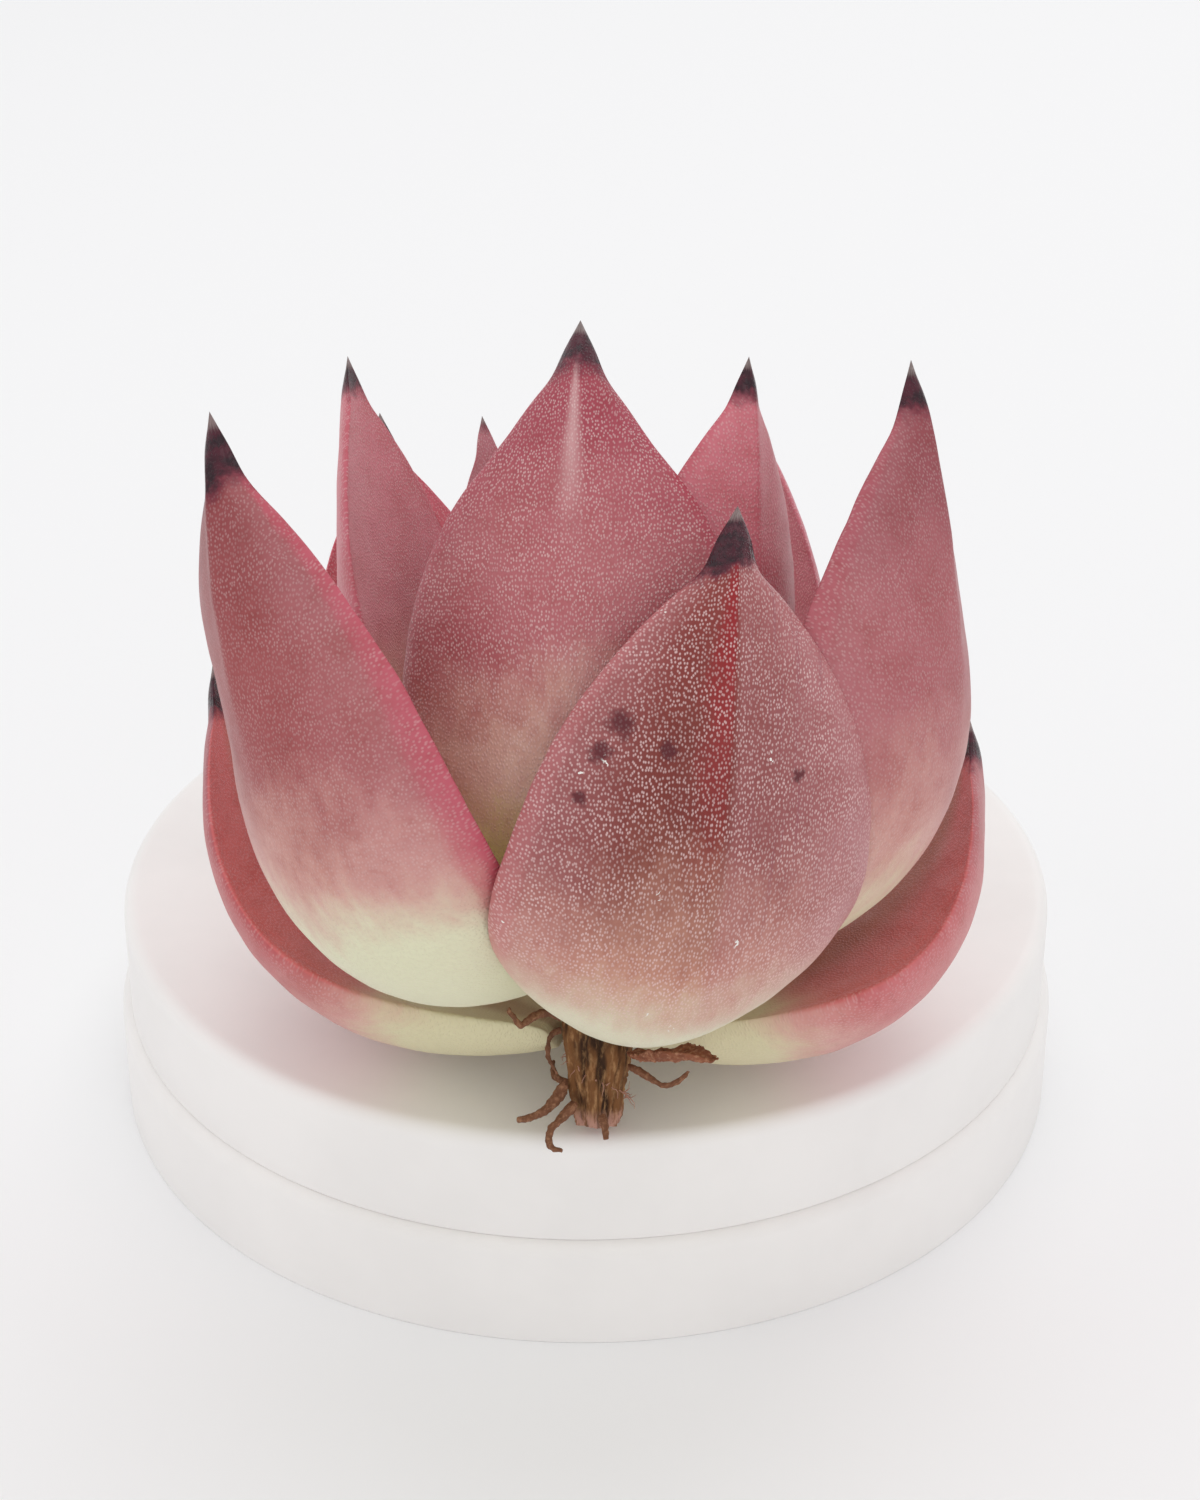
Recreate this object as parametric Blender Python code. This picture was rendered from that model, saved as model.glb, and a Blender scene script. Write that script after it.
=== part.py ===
"""Pink bare-rooted succulent rosette, leaning back on a low round white stand.

Metres, +Z up. The origin is the centre of the stand's underside. The plant is built
upright about its own axis, with the foot of its stem at z = 0, and is then leaned back
and set on the stand, so that it rests on its foot and on the backs of its rear leaves.
"""

import math
from typing import NamedTuple

import bpy
from mathutils import Matrix, Vector

MM = 0.001

# Stand: two stacked round pieces, the lower one a little wider.
BASE_RADIUS = 36.0 * MM
BASE_HEIGHT = 8.4 * MM
TOP_RADIUS = 35.3 * MM
TOP_HEIGHT = 8.0 * MM
EDGE_ROUND = 1.1 * MM
FOOT_BEVEL = 0.6 * MM

# Plant: where it stands. How far it leans follows from its leaves.
FOOT_INSET = 0.8 * MM  # from the stand's front edge to the middle of the stem's foot
FOOT_SIDE = 0.9 * MM

# Stem: a rough tapered peg, widest where the leaves grow from it.
STEM_CROWN = 0.8 * MM  # of stem above the seat of the last leaf
STEM_FOOT_RADIUS = 1.7 * MM
STEM_NECK_RADIUS = 2.5 * MM
STEM_NECK_HEIGHT = 7.0 * MM
STEM_TOP_RADIUS = 1.6 * MM

# Shape that all leaves share. Bulges and the cup are shares of half of the leaf's width.
BACK_BULGE = 0.36
BACK_FULLNESS = 0.65  # power on the bulge: under 1 is fuller than an ellipse
FACE_BULGE = 0.10
MARGIN_CUP = 0.22
SEAT_WIDTH = 0.19
SEAT_THICKNESS = 0.40
SEAT_REACH = 0.75  # of the way out to the belly, before the midrib turns up
TIP_REACH = 0.25  # of the way from the belly to the tip, before the midrib turns in

GAP = 0.3 * MM  # between pieces that touch
LEAF_SIDES = 16
LEAF_RINGS = 15
STAND_SIDES = 64
EDGE_STEPS = 4
STEM_SIDES = 14
STEM_RINGS = 10
ROOT_SIDES = 6
ROOT_STEPS = 3  # to each stretch between a root's points
ROOT_TAPER = 0.55  # of its thickness lost by its end


class Leaf(NamedTuple):
    """One leaf. Turn is in degrees from +X, and lengths are in millimetres."""

    name: str
    turn: float
    seat: float  # height on the stem
    belly: float  # how far out the midrib swings
    rise: float  # height at which it has swung out
    tip_out: float
    tip_up: float
    width: float
    sway: float = 0.0  # of the tip, along the direction of growing turn


# From the lowest, oldest leaf to the heart, most of them about 137 degrees on from the last.
LEAVES = (
    Leaf("leaf_lower_right", 15, 6.3, 25.5, 8.0, 26.2, 26.3, 22.0),
    Leaf("leaf_lower_left", 155, 6.3, 25.8, 7.6, 29.6, 29.4, 22.0),
    Leaf("leaf_back", 84, 7.9, 26.5, 1.9, 21.0, 41.0, 22.0),
    Leaf("leaf_front", -76, 10.3, 25.6, 12.6, 19.8, 42.1, 23.4, 3.6),
    Leaf("leaf_left", -140, 12.4, 24.2, 14.8, 28.8, 47.6, 23.8, -1.2),
    Leaf("leaf_right", -26.5, 13.2, 22.6, 24.5, 21.3, 50.6, 23.8, 0.6),
    Leaf("leaf_back_left", 130, 14.0, 21.5, 20.5, 24.0, 46.8, 20.0),
    Leaf("leaf_centre_front", -96, 15.2, 18.8, 24.0, 9.8, 53.0, 21.8),
    Leaf("leaf_back_right", 38, 16.1, 15.5, 22.5, 13.0, 48.0, 19.0),
    Leaf("leaf_inner_left", 158, 17.1, 15.0, 25.5, 18.0, 50.8, 18.0),
    Leaf("leaf_inner_right", -45, 18.0, 11.4, 26.5, 13.2, 50.8, 16.4),
    Leaf("leaf_inner_back", 134, 19.0, 9.0, 30.0, 11.2, 46.8, 12.0),
    Leaf("leaf_heart_outer", -110, 19.8, 5.0, 30.5, 4.5, 42.0, 10.0),
    Leaf("leaf_heart_inner", 10, 20.5, 3.6, 30.5, 3.0, 38.0, 7.5),
)
# The dry scale that an older, fallen leaf left behind, under the others.
OLD_LEAF_BASE = Leaf("old_leaf_base", -38, 5.2, 6.0, 6.3, 10.0, 5.8, 3.0)

# Outline of a leaf: half-width along its length, as a share of the widest.
OUTLINE = ((0.0, SEAT_WIDTH), (0.13, 0.48), (0.28, 0.87), (0.42, 1.0), (0.56, 0.96),
           (0.70, 0.80), (0.80, 0.56), (0.87, 0.34), (0.92, 0.18), (0.96, 0.085), (1.0, 0.0))
# Its thickness along its length, as a share of the thickest.
THICKNESS = ((0.0, SEAT_THICKNESS), (0.20, 0.88), (0.36, 1.0), (0.60, 0.86), (0.80, 0.56),
             (0.93, 0.24), (1.0, 0.0))


class Root(NamedTuple):
    """One root: from a height and turn on the stem, through points (x, y, z) in millimetres."""

    name: str
    turn: float
    height: float
    thickness: float
    path: tuple


# Roots and stubs of the bare stem, in the plant's own upright frame.
ROOTS = (
    Root("root_left_upper", 215, 7.7, 0.75,
         ((-3.7, -2.6, 8.1), (-5.0, -3.3, 7.5), (-5.8, -3.6, 8.5))),
    Root("root_left_string", 208, 6.6, 0.5,
         ((-3.2, -2.0, 6.3), (-3.2, -2.2, 5.0), (-2.7, -2.2, 3.9))),
    Root("root_left_fork", 205, 2.9, 0.95,
         ((-2.9, -1.7, 1.9), (-4.0, -2.3, 1.1), (-5.3, -2.7, 0.9))),
    Root("root_left_hook", 225, 1.7, 0.8,
         ((-2.3, -2.3, 1.0), (-3.1, -3.0, 0.3), (-3.0, -3.5, -0.7), (-2.3, -3.7, -0.9))),
    Root("root_right_loop", -32, 4.2, 0.6,
         ((3.1, -2.2, 3.9), (4.3, -2.9, 3.4), (5.4, -3.3, 3.7), (6.0, -3.4, 4.4))),
    Root("root_front_stub", -80, 0.9, 0.8, ((0.5, -2.4, 0.4), (0.6, -2.9, -0.3))),
    Root("root_back_curl", 120, 2.4, 0.8,
         ((-1.8, 3.0, 1.9), (-2.9, 4.2, 2.2), (-3.0, 5.4, 2.9))),
)


STEM_HEIGHT = LEAVES[-1].seat * MM + STEM_CROWN


def clear_scene():
    for thing in list(bpy.data.objects):
        bpy.data.objects.remove(thing, do_unlink=True)


def material(name, colour, roughness):
    made = bpy.data.materials.new(name)
    made.use_nodes = True
    shader = made.node_tree.nodes["Principled BSDF"]
    shader.inputs["Base Color"].default_value = (*colour, 1.0)
    shader.inputs["Roughness"].default_value = roughness
    shader.inputs["Metallic"].default_value = 0.0
    return made


def smooth_curve(points, at):
    """Height at `at` of the smooth curve that runs through points, (place, height) pairs."""
    slopes = []
    for i in range(len(points)):
        before = points[max(i - 1, 0)]
        after = points[min(i + 1, len(points) - 1)]
        slopes.append((after[1] - before[1]) / (after[0] - before[0]))
    for i in range(len(points) - 1):
        (x0, y0), (x1, y1) = points[i], points[i + 1]
        if at <= x1:
            span = x1 - x0
            s = (at - x0) / span
            return (
                y0 * (1 + 2 * s) * (1 - s) ** 2
                + y1 * s * s * (3 - 2 * s)
                + span * (slopes[i] * s * (1 - s) ** 2 + slopes[i + 1] * s * s * (s - 1))
            )
    return points[-1][1]


def add_object(name, verts, faces, skin, smooth_angle=40.0):
    mesh = bpy.data.meshes.new(name)
    mesh.from_pydata(verts, [], faces)
    mesh.materials.append(skin)
    mesh.shade_smooth()
    mesh.set_sharp_from_angle(angle=math.radians(smooth_angle))
    made = bpy.data.objects.new(name, mesh)
    bpy.context.collection.objects.link(made)
    return made


def skin_rings(rings, tip=None):
    """Closed skin over rings of equal count: a fan at the first, a fan or a tip at the last."""
    count = len(rings[0])
    verts = [point for ring in rings for point in ring]
    faces = []
    for i in range(len(rings) - 1):
        low, high = i * count, (i + 1) * count
        for k in range(count):
            after = (k + 1) % count
            faces.append((low + k, low + after, high + after, high + k))
    verts.append(sum(rings[0], Vector()) / count)
    for k in range(count):
        faces.append((len(verts) - 1, (k + 1) % count, k))
    verts.append(tip if tip is not None else sum(rings[-1], Vector()) / count)
    last = (len(rings) - 1) * count
    for k in range(count):
        faces.append((len(verts) - 1, last + k, last + (k + 1) % count))
    return verts, faces


def round_ring(radius, height, sides):
    """Points of a level circle about Z."""
    turns = [2 * math.pi * k / sides for k in range(sides)]
    return [Vector((radius * math.cos(turn), radius * math.sin(turn), height)) for turn in turns]


def stem_radius(height):
    """Radius of the stem at a height above its foot."""
    if height < STEM_NECK_HEIGHT:
        share = height / STEM_NECK_HEIGHT
        return STEM_FOOT_RADIUS + (STEM_NECK_RADIUS - STEM_FOOT_RADIUS) * share
    share = (height - STEM_NECK_HEIGHT) / (STEM_HEIGHT - STEM_NECK_HEIGHT)
    return STEM_NECK_RADIUS + (STEM_TOP_RADIUS - STEM_NECK_RADIUS) * share


def midrib(leaf, t):
    """Place on a leaf's midrib (out, up) and the way it heads, at a share t of its length."""
    seat = leaf.seat * MM
    start = Vector((stem_radius(seat) + GAP, seat))
    tip = Vector((leaf.tip_out, leaf.tip_up)) * MM
    swing = Vector((leaf.belly, leaf.rise)) * MM
    out_handle = Vector((start.x + (swing.x - start.x) * SEAT_REACH, start.y))
    tip_handle = swing + (tip - swing) * TIP_REACH
    tip_handle.x = swing.x
    ends = (start, out_handle, tip_handle, tip)
    s = 1 - t
    weights = (s**3, 3 * s * s * t, 3 * s * t * t, t**3)
    place = sum((w * p for w, p in zip(weights, ends)), Vector((0, 0)))
    heading = Vector((0, 0))
    for w, a, b in zip((s * s, 2 * s * t, t * t), ends, ends[1:]):
        heading += w * (b - a)
    return place, heading.normalized()


def even_steps(leaf, shares, samples=80):
    """Values of t at which the given shares of the midrib's length are reached."""
    lengths = [0.0]
    for i in range(samples):
        step = midrib(leaf, (i + 1) / samples)[0] - midrib(leaf, i / samples)[0]
        lengths.append(lengths[-1] + step.length)
    found = []
    for share in shares:
        wanted = share * lengths[-1]
        i = max(k for k in range(samples) if lengths[k] <= wanted)
        found.append((i + (wanted - lengths[i]) / (lengths[i + 1] - lengths[i])) / samples)
    return found


def leaf_ring(leaf, t, share):
    """Section of a leaf at t: a bulging back and a flatter face, the margins cupped inwards."""
    place, heading = midrib(leaf, t)
    half = leaf.width * MM / 2 * smooth_curve(OUTLINE, share)
    thick = leaf.width * MM / 2 * smooth_curve(THICKNESS, share)
    sway = leaf.sway * MM * share * share
    ring = []
    for k in range(LEAF_SIDES):
        angle = 2 * math.pi * k / LEAF_SIDES
        across = math.cos(angle)
        crown = 1 - across * across
        if math.sin(angle) < 0:
            depth = BACK_BULGE * thick * crown**BACK_FULLNESS
        else:
            depth = -FACE_BULGE * thick * crown
        depth -= MARGIN_CUP * half * across * across
        ring.append(Vector((
            place.x + depth * heading.y,
            half * across + sway,
            place.y - depth * heading.x,
        )))
    return ring


def build_leaf(leaf, skin):
    shares = [i / LEAF_RINGS for i in range(LEAF_RINGS)]
    rings = [leaf_ring(leaf, t, share) for t, share in zip(even_steps(leaf, shares), shares)]
    place, _ = midrib(leaf, 1.0)
    tip = Vector((place.x, leaf.sway * MM, place.y))
    turn = Matrix.Rotation(math.radians(leaf.turn), 3, "Z")
    verts, faces = skin_rings(rings, tip)
    return add_object(leaf.name, [turn @ v for v in verts], faces, skin)


def build_stem(skin):
    heights = [STEM_HEIGHT * i / STEM_RINGS for i in range(STEM_RINGS + 1)]
    rings = [round_ring(stem_radius(height), height, STEM_SIDES) for height in heights]
    verts, faces = skin_rings(rings)
    return add_object("stem", verts, faces, skin, 60.0)


def through(points, steps):
    """Points of the smooth curve through a list of points, `steps` to each stretch."""
    ends = [2 * points[0] - points[1], *points, 2 * points[-1] - points[-2]]
    curve = []
    for a, b, c, d in zip(ends, ends[1:], ends[2:], ends[3:]):
        for i in range(steps):
            t = i / steps
            curve.append(0.5 * (2 * b + t * (c - a) + t * t * (2 * a - 5 * b + 4 * c - d)
                                + t**3 * (3 * b - a - 3 * c + d)))
    curve.append(points[-1])
    return curve


def build_root(root, skin):
    """Thin tapered tube that starts just off the stem."""
    turn = math.radians(root.turn)
    height = root.height * MM
    radius = root.thickness * MM / 2
    outward = Vector((math.cos(turn), math.sin(turn), 0))
    start = outward * (stem_radius(height) + GAP) + Vector((0, 0, height))
    centre = through([start] + [Vector(point) * MM for point in root.path], ROOT_STEPS)
    rings = []
    side = Vector((0, 0, 1)).cross(outward).normalized()
    for i, place in enumerate(centre):
        ahead = centre[min(i + 1, len(centre) - 1)] - centre[max(i - 1, 0)]
        if i == 0:
            ahead = outward
        across = (side - side.project(ahead)).normalized()
        up = ahead.normalized().cross(across)
        size = radius * (1 - ROOT_TAPER * i / (len(centre) - 1))
        rings.append([
            place + size * (math.cos(2 * math.pi * k / ROOT_SIDES) * across
                            + math.sin(2 * math.pi * k / ROOT_SIDES) * up)
            for k in range(ROOT_SIDES)
        ])
        side = across
    verts, faces = skin_rings(rings)
    return add_object(root.name, verts, faces, skin, 70.0)


def turned(name, profile, skin):
    """Solid turned about Z from a profile of (radius, height) from the bottom up."""
    rings = [round_ring(radius, height, STAND_SIDES) for radius, height in profile]
    verts, faces = skin_rings(rings)
    return add_object(name, verts, faces, skin)


def rounded_edge(radius, height, size):
    """Profile points of a rounded upper edge."""
    points = []
    for i in range(EDGE_STEPS + 1):
        angle = math.pi / 2 * i / EDGE_STEPS
        points.append((radius - size + size * math.cos(angle), height - size + size * math.sin(angle)))
    return points


def build_stand(skin):
    base = [(BASE_RADIUS - FOOT_BEVEL, 0.0), (BASE_RADIUS, FOOT_BEVEL)]
    base += rounded_edge(BASE_RADIUS, BASE_HEIGHT, EDGE_ROUND)
    turned("stand_base", base, skin)
    floor = BASE_HEIGHT + GAP
    top = [(TOP_RADIUS, floor)] + rounded_edge(TOP_RADIUS, floor + TOP_HEIGHT, EDGE_ROUND)
    turned("stand_top", top, skin)
    return floor + TOP_HEIGHT


def lean_to_rest(plant):
    """Angle by which the plant leans back before a rear leaf meets the surface its foot is on."""
    heel = STEM_FOOT_RADIUS
    return min(
        math.atan2(vertex.co.z, vertex.co.y - heel)
        for thing in plant
        for vertex in thing.data.vertices
        if vertex.co.y > 2 * heel
    )


def main():
    clear_scene()
    leaf_skin = material("leaf", (0.50, 0.14, 0.17), 0.5)
    bark = material("bark", (0.16, 0.08, 0.04), 0.9)
    white = material("white", (0.85, 0.85, 0.84), 0.35)
    surface = build_stand(white)
    plant = [build_leaf(leaf, leaf_skin) for leaf in LEAVES]
    lean = lean_to_rest(plant)
    plant.append(build_leaf(OLD_LEAF_BASE, bark))
    plant.append(build_stem(bark))
    plant += [build_root(root, bark) for root in ROOTS]
    lift = STEM_FOOT_RADIUS * math.sin(lean) + GAP
    foot = Vector((FOOT_SIDE, FOOT_INSET - TOP_RADIUS, surface + lift))
    for thing in plant:
        thing.matrix_world = Matrix.Translation(foot) @ Matrix.Rotation(-lean, 4, "X")


main()
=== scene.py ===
# %% [markdown]
# # A pink succulent rosette on a white stand
# The real plant is a bare-rooted rosette that leans back on a low round stand. Its leaves are
# thick, pointed and powdery, cream at the foot, dusty rose above, with glossy plum tips.
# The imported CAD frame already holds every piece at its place, so this lesson starts from it:
# the plant's meshes are copied, smoothed and sculpted, the stand is modelled anew at its CAD
# size, and every piece gets a finish made of nodes.

# %% Load the frame
import math

import bpy
import numpy as np
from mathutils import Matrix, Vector, noise


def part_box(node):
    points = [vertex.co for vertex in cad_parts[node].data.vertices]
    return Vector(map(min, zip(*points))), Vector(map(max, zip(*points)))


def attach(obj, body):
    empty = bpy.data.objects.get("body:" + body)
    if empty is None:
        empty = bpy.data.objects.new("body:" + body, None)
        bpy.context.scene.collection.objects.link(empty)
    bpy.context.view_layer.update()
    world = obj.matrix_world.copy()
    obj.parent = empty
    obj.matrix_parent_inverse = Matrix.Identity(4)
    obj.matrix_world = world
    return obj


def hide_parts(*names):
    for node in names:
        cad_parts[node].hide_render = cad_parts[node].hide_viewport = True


noise.seed_set(1)  # vector noise starts from the clock otherwise, so no two runs would match
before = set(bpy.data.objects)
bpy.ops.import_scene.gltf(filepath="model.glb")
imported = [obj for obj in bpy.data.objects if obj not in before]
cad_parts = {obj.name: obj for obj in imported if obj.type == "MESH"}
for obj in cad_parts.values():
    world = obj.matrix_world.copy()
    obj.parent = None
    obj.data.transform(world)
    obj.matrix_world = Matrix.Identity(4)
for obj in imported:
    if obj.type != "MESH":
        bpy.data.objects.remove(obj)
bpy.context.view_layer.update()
MM = 0.001
STEM_LOW, STEM_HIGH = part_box("stem")
STEM_MIDDLE = np.array((STEM_LOW + STEM_HIGH) / 2)
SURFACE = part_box("stand_top")[1].z  # what the stem stands on

# %% [markdown]
# ## Copying a CAD mesh
# A CAD mesh arrives as loose triangles. A copy is merged by distance, which joins the
# triangles up again, so that modifiers and smooth shading can run over the whole skin.
# The CAD mesh itself is left alone, because it is what the physics uses.

# %% Helpers for copies
def pick(piece):
    """Select one object only and make it active."""
    bpy.ops.object.select_all(action="DESELECT")
    piece.select_set(True)
    bpy.context.view_layer.objects.active = piece


def merged_copy(node, name):
    """A copy of a CAD node's mesh as one joined skin."""
    piece = bpy.data.objects.new(name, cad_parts[node].data.copy())
    bpy.context.scene.collection.objects.link(piece)
    pick(piece)
    bpy.ops.mesh.customdata_custom_splitnormals_clear()
    bpy.ops.object.mode_set(mode="EDIT")
    bpy.ops.mesh.select_all(action="SELECT")
    bpy.ops.mesh.mark_sharp(clear=True)
    bpy.ops.mesh.remove_doubles(threshold=0.001 * MM)
    bpy.ops.object.mode_set(mode="OBJECT")
    return piece


def places(mesh):
    """The vertices of a mesh as rows of x, y, z."""
    flat = np.empty(len(mesh.vertices) * 3, np.float32)
    mesh.vertices.foreach_get("co", flat)
    return flat.reshape(-1, 3).astype(float)


def directions(mesh):
    """The vertex normals of a mesh as rows of x, y, z."""
    flat = np.empty(len(mesh.vertices) * 3, np.float32)
    mesh.vertex_normals.foreach_get("vector", flat)
    return flat.reshape(-1, 3).astype(float)


def put_places(mesh, rows):
    mesh.vertices.foreach_set("co", rows.astype(np.float32).ravel())
    mesh.update()


def put_attribute(mesh, name, kind, values):
    """Store one value or vector at each vertex, for the finish to read."""
    found = mesh.attributes.get(name) or mesh.attributes.new(name, kind, "POINT")
    key = "vector" if kind == "FLOAT_VECTOR" else "value"
    found.data.foreach_set(key, np.asarray(values, np.float32).ravel())


def get_attribute(mesh, name):
    values = np.empty(len(mesh.vertices), np.float32)
    mesh.attributes[name].data.foreach_get("value", values)
    return values.astype(float)


def finished(piece, node, skin):
    """Dress a piece, let it ride on the frame and stand for its CAD node."""
    piece.data.materials.clear()
    piece.data.materials.append(skin)
    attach(piece, "root")
    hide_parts(node)


# %% [markdown]
# ## Reading a leaf
# A leaf is built of rings from its seat on the stem to its tip. Walking outwards from the tip
# vertex, edge by edge, numbers the rings. From them come a leaf's own directions: along it,
# across it and out through its back. Shape and colour both use these, as a gardener would:
# "near the tip", "along the margin", "on the keel". It could be done with a UV map, but two
# numbers at each vertex are simpler and stay right through subdivision.

# %% Number the rings of a leaf
RINGS = 15
HUB_EDGES = 12  # at a leaf's ends at least this many edges meet


def ring_numbers(mesh, start):
    """For each vertex, how many edges it is away from the start vertex."""
    near = [[] for _ in mesh.vertices]
    for edge in mesh.edges:
        a, b = edge.vertices
        near[a].append(b)
        near[b].append(a)
    steps = np.full(len(near), -1)
    steps[start] = 0
    front = [start]
    while front:
        after = []
        for a in front:
            for b in near[a]:
                if steps[b] < 0:
                    steps[b] = steps[a] + 1
                    after.append(b)
        front = after
    return steps


def find_tip(mesh):
    """The vertex where many edges meet that is farthest from the stem."""
    meets = np.zeros(len(mesh.vertices), int)
    for edge in mesh.edges:
        for a in edge.vertices:
            meets[a] += 1
    rows = places(mesh)
    hubs = np.flatnonzero(meets >= HUB_EDGES)
    return int(hubs[np.argmax(np.linalg.norm(rows[hubs] - STEM_MIDDLE, axis=1))])


# %% The directions of a leaf
WIDE_RING, BELLY_RING = 6, 5  # where its width and its back are read


class LeafFrame:
    """Centre line, directions and half-width of a leaf at shares 0 to 1 of its length."""

    def __init__(self, mesh):
        rows = places(mesh)
        self.tip = find_tip(mesh)
        steps = ring_numbers(mesh, self.tip)
        self.ring = np.clip(RINGS - steps, 0, RINGS)
        self.ring[steps > RINGS] = 0
        centres = [rows[self.ring == i].mean(0) for i in range(RINGS)] + [rows[self.tip]]
        self.centres = np.array(centres)
        middle = rows[self.ring == WIDE_RING] - centres[WIDE_RING]
        _, _, axes = np.linalg.svd(middle)
        side = axes[0]
        outward = centres[BELLY_RING] - STEM_MIDDLE
        right = np.cross((0.0, 0.0, 1.0), outward)
        self.side = side if side @ right > 0 else -side
        self.shares = np.arange(RINGS + 1) / RINGS
        heading = np.gradient(self.centres, axis=0)
        heading /= np.linalg.norm(heading, axis=1)[:, None]
        backs = np.cross(heading, self.side)
        backs /= np.linalg.norm(backs, axis=1)[:, None]
        self.backs = backs if backs[BELLY_RING] @ outward > 0 else -backs
        lateral = (rows - self.centres[self.ring]) @ self.side
        self.half = np.array(
            [np.abs(lateral[self.ring == i]).max() for i in range(RINGS)] + [0.0001 * MM]
        )
        self.across = np.clip(lateral / self.half[self.ring], -1, 1)
        steps_along = np.linalg.norm(np.diff(self.centres, axis=0), axis=1)
        self.lengths = np.concatenate(([0.0], np.cumsum(steps_along)))

    def at(self, table, along):
        """A value of the frame at shares along the leaf."""
        if table.ndim == 1:
            return np.interp(along, self.shares, table)
        return np.stack([np.interp(along, self.shares, table[:, i]) for i in range(3)], 1)


# %% [markdown]
# ## Smoothing a leaf
# The real leaf is a plump boat. The CAD leaf has the right size and place but sixteen flat
# sides. A Subdivision Surface rounds it, with the tip vertex creased so that it stays a point.
# A voxel remesh would round it too, but would lose the rings that shape and colour follow.

# %% Smooth a leaf
def smooth_leaf(node):
    piece = merged_copy(node, node + "_skin")
    mesh = piece.data
    shape = LeafFrame(mesh)
    put_attribute(mesh, "along", "FLOAT", shape.ring / RINGS)
    put_attribute(mesh, "across", "FLOAT", shape.across)
    bpy.ops.object.mode_set(mode="EDIT")
    bpy.ops.mesh.select_all(action="DESELECT")
    bpy.ops.object.mode_set(mode="OBJECT")
    for face in mesh.polygons:
        touched = {int(shape.ring[v]) for v in face.vertices}
        face.select = len(touched) == 2 and max(touched) < RINGS
    bpy.ops.object.mode_set(mode="EDIT")
    bpy.ops.mesh.select_mode(type="FACE")
    bpy.ops.mesh.tris_convert_to_quads(face_threshold=math.pi, shape_threshold=math.pi)
    bpy.ops.mesh.select_mode(type="VERT")
    bpy.ops.mesh.select_all(action="DESELECT")
    bpy.ops.object.mode_set(mode="OBJECT")
    mesh.vertices[shape.tip].select = True
    bpy.ops.object.mode_set(mode="EDIT")
    bpy.ops.transform.vert_crease(value=1.0)
    bpy.ops.object.mode_set(mode="OBJECT")
    rounder = piece.modifiers.new("round", "SUBSURF")
    rounder.levels = rounder.render_levels = 3
    bpy.ops.object.modifier_apply(modifier="round")
    bpy.ops.object.shade_smooth()
    return piece, shape


# %% [markdown]
# ## Sculpting a leaf
# On the real leaf a keel sharpens towards a short pinched point, and the living skin has faint
# dents. What a sculptor would do with a brush is done by moving vertices in the leaf's own
# directions, so that the same strokes fit every leaf, and values make each leaf its own.

# %% Sculpt a leaf
SMOOTHING_LOSS = 1.022  # what rounding takes off a leaf's width
SLIM_ZONE = (0.84, 0.07)  # zones: the middle and the reach, as shares of the length
PINCH_ZONE = (0.925, 0.035)
FILL_ZONE = (0.5, 0.3)
TRIM_REACH, PLUMP_REACH = 0.14, 0.22
KEEL_PULL = 0.07  # of the half-width, at the flanks beside the keel
KEEL_RIDGE = 0.22 * MM
DENT_SIZE = 0.16 * MM
BROAD_DENTS, FINE_DENTS = 7 * MM, 2.2 * MM  # how far apart dents lie


def step_up(low, high, at):
    """0 below low, 1 above high, and a smooth rise between."""
    share = np.clip((at - low) / (high - low), 0, 1)
    return share * share * (3 - 2 * share)


def bump_at(middle, width, at):
    """1 at the middle, fading out over the width on both sides."""
    return np.exp(-(((at - middle) / width) ** 2))


def sculpt_leaf(piece, shape, seed, slim=0.0, pinch=0.16, plump=0.5, plump_at=0.4,
                trim_left=0.0, trim_at=0.6, fill=0.0):
    """Give one leaf its shape: shares for slim and pinch, millimetres for the rest."""
    mesh = piece.data
    rows = places(mesh)
    along = get_attribute(mesh, "along")
    across = get_attribute(mesh, "across")
    centre = shape.at(shape.centres, along)
    back = shape.at(shape.backs, along)
    half = shape.at(shape.half, along)
    lateral = (rows - centre) @ shape.side
    facing = (directions(mesh) * back).sum(1)
    width = SMOOTHING_LOSS * (1 - slim * bump_at(*SLIM_ZONE, along))
    width *= 1 - pinch * bump_at(*PINCH_ZONE, along)
    rows += np.outer(lateral * (width - 1), shape.side)
    trimmed = trim_left * MM * bump_at(trim_at, TRIM_REACH, along)
    rows += np.outer(trimmed * step_up(0.0, 1.0, -across), shape.side)
    sharpness = step_up(0.50, 0.88, along) * (1 - step_up(0.93, 1.0, along))
    outside = step_up(-0.1, 0.6, facing)
    flank = 4 * np.abs(across) * (1 - np.abs(across))
    ridge = bump_at(0, 0.9 * MM, lateral)
    lift = outside * sharpness * (KEEL_RIDGE * ridge - KEEL_PULL * half * flank)
    lift += outside * plump * MM * bump_at(plump_at, PLUMP_REACH, along) * (1 - across**2)
    inside = step_up(0.1, -0.6, facing)
    lift -= inside * fill * MM * bump_at(*FILL_ZONE, along) * (1 - across**2)
    lift -= outside * 0.5 * trimmed * step_up(-0.2, 0.6, -across)
    rows += back * lift[:, None]
    normal = directions(mesh)
    offset = Vector((seed * 7.3, seed * 3.1, seed * 5.7))
    dents = np.array([
        noise.noise(Vector(p) / BROAD_DENTS + offset)
        + 0.35 * noise.noise(Vector(p) / FINE_DENTS + offset)
        for p in rows
    ])
    rows += normal * (DENT_SIZE * dents * (1 - step_up(0.85, 0.97, along)))[:, None]
    put_places(mesh, rows)
    arc = shape.at(shape.lengths, along)
    put_attribute(mesh, "facing", "FLOAT", facing)
    put_attribute(mesh, "grain", "FLOAT_VECTOR",
                  np.stack([lateral / MM, arc / MM, np.full(len(arc), seed * 11.0)], 1))


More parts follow.
